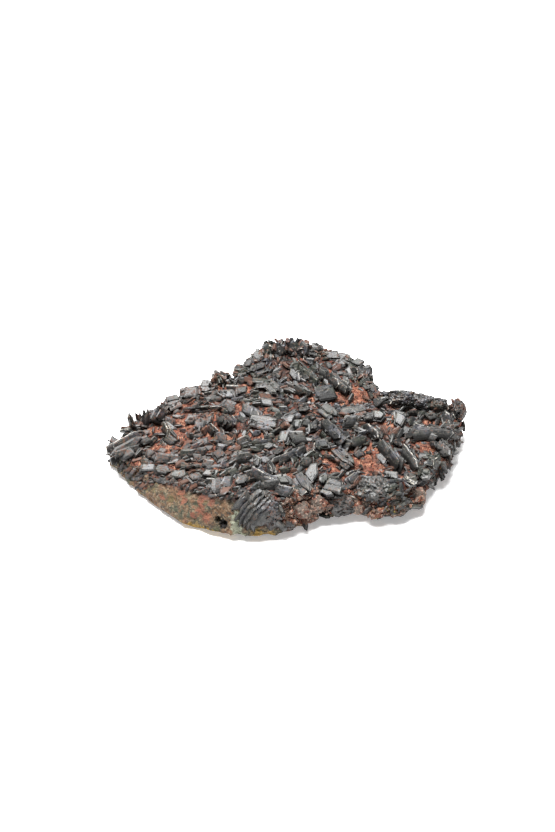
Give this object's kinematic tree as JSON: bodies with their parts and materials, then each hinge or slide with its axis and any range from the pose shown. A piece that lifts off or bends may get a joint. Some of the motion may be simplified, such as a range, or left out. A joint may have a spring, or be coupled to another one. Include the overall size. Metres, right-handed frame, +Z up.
{
  "type": "epidote crystal specimen on rock matrix",
  "caption": "Low rock plate overgrown with tabular dark epidote crystals in leaning books, fans and small tablets, resting on a flat base.",
  "frame": {"origin": "centre of the footprint, on the surface that the rock plate rests on", "axes": "+X along the plate's length, +Y towards the edge with the upright crystals, +Z up"},
  "size_m": [0.1472, 0.111, 0.0275],
  "materials": {
    "matrix_rock": "rough granular quartz and feldspar rock with rust-brown and ochre stains",
    "epidote": "satin dark slate-grey crystal faces with thin bright edges"
  },
  "bodies": {
    "root": {"back_block_crystals": "epidote", "back_left_crystals": "epidote", "back_right_block_crystals": "epidote", "back_right_rim_crystals": "epidote", "back_slab_crystals": "epidote", "bright_crystals": "epidote", "broad_face_crystals": "epidote", "centre_edge_crystals": "epidote", "centre_tablet_crystals": "epidote", "comb_slab_crystals": "epidote", "crown_crystals": "epidote", "dark_block_crystals": "epidote", "dark_lens_crystals": "epidote", "edge_plates_crystals": "epidote", "fine_stack_crystals": "epidote", "front_face_crystals": "epidote", "front_fan_crystals": "epidote", "front_left_crystals": "epidote", "front_wedge_crystals": "epidote", "leaning_book_crystals": "epidote", "left_centre_crystals": "epidote", "left_comb_crystals": "epidote", "left_inner_crystals": "epidote", "left_tip_crystals": "epidote", "long_edge_crystals": "epidote", "long_slab_crystals": "epidote", "lower_left_crystals": "epidote", "lower_right_crystals": "epidote", "lower_slab_crystals": "epidote", "matrix_plate": "matrix_rock", "middle_slab_crystals": "epidote", "pale_pair_crystals": "epidote", "pale_tablet_crystals": "epidote", "point_crystals": "epidote", "pointed_slab_crystals": "epidote", "right_block_crystals": "epidote", "right_edge_crystals": "epidote", "right_light_crystals": "epidote", "right_long_book_crystals": "epidote", "right_mass_crystals": "epidote", "right_shoulder_crystals": "epidote", "right_tablet_crystals": "epidote", "rough_block_crystals": "epidote", "round_lobe_crystals": "epidote", "shelf_crystals": "epidote", "slanted_plates_crystals": "epidote", "steep_plates_crystals": "epidote", "stepped_crystals": "epidote", "twin_crystals": "epidote", "upper_middle_crystals": "epidote", "upper_tablet_crystals": "epidote"}
  },
  "joints": []
}
